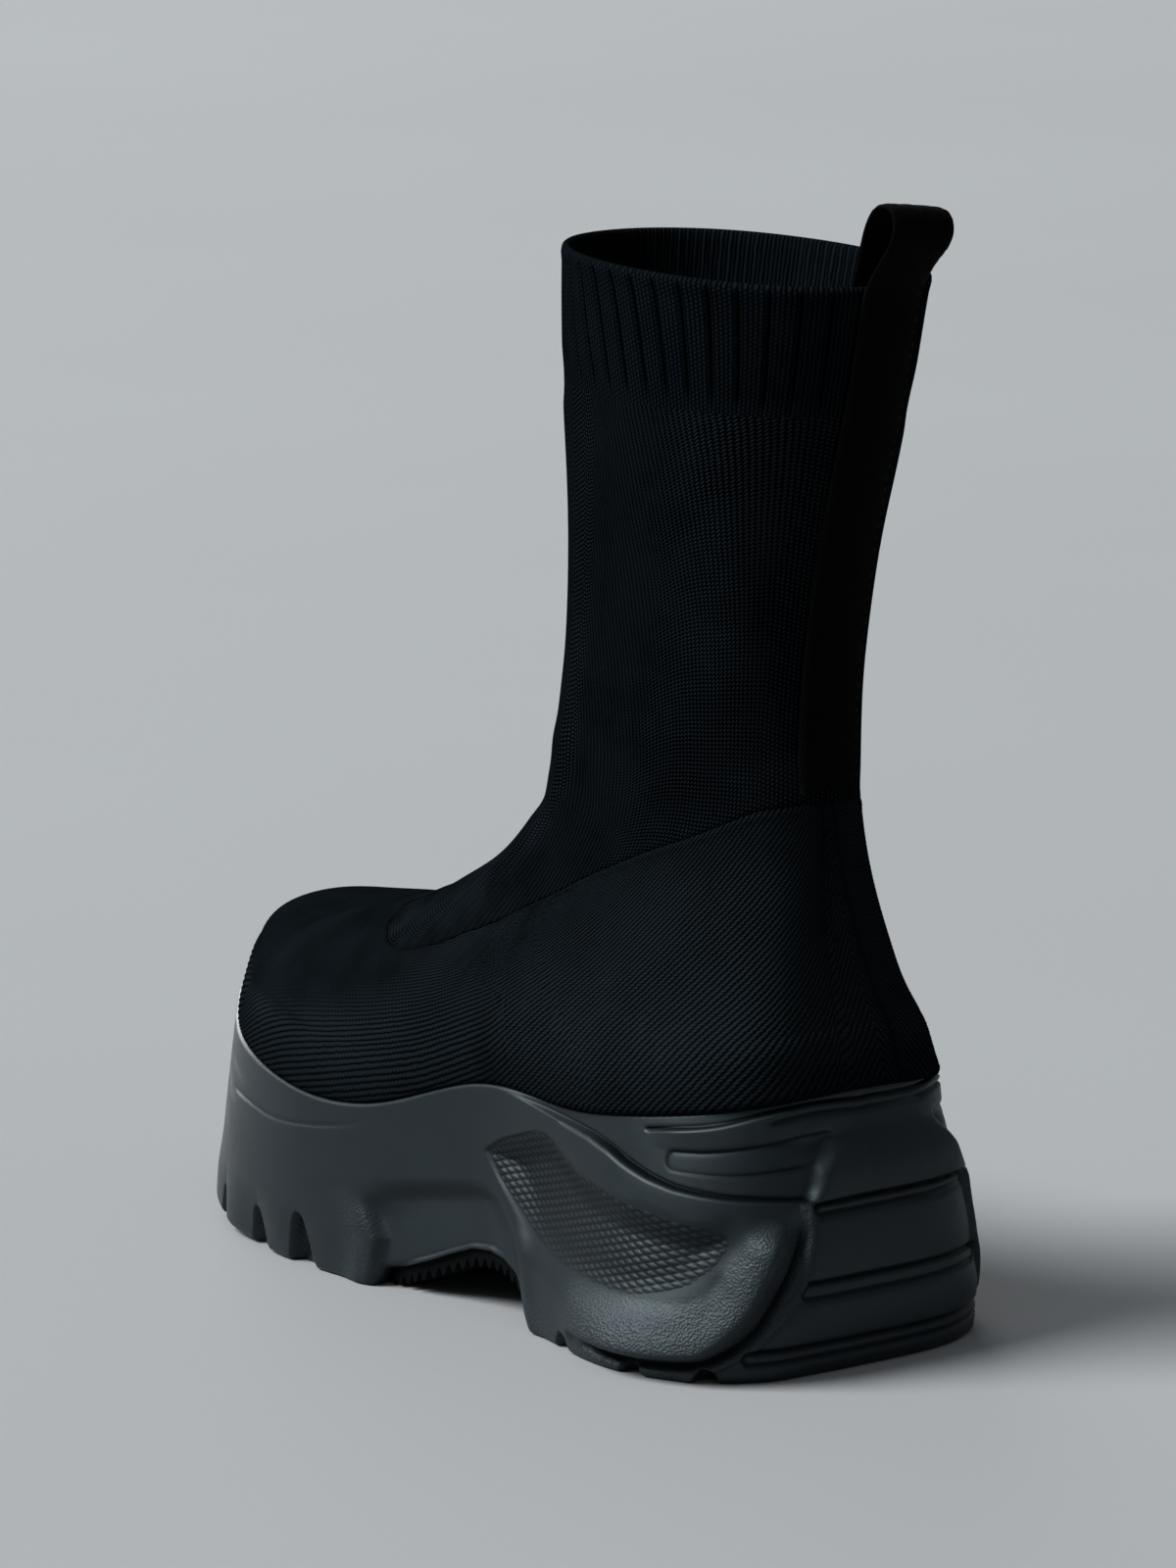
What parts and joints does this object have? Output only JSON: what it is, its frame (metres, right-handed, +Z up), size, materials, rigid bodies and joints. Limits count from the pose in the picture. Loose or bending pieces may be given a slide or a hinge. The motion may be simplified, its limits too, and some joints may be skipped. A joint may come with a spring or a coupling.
{
  "type": "platform ankle boot",
  "caption": "Pull-on ankle boot: a ribbed knit sock upper with a heel pull loop, set in a tall sculpted platform sole with a flared heel and arch.",
  "frame": {"origin": "middle of the boot's box, at the floor", "axes": "+X to the toe, +Y to the outer (left) side of this left boot, +Z up"},
  "size_m": [0.2714, 0.1098, 0.2848],
  "materials": {
    "midsole": "satin moulded",
    "outsole": "matt moulded",
    "upper": "matt knit",
    "insole": "matt",
    "heel_tape": "pile webbing"
  },
  "bodies": {
    "root": {"midsole": "midsole", "outsole": "outsole", "upper": "upper", "insole": "insole", "heel_tape": "heel_tape"}
  },
  "joints": []
}
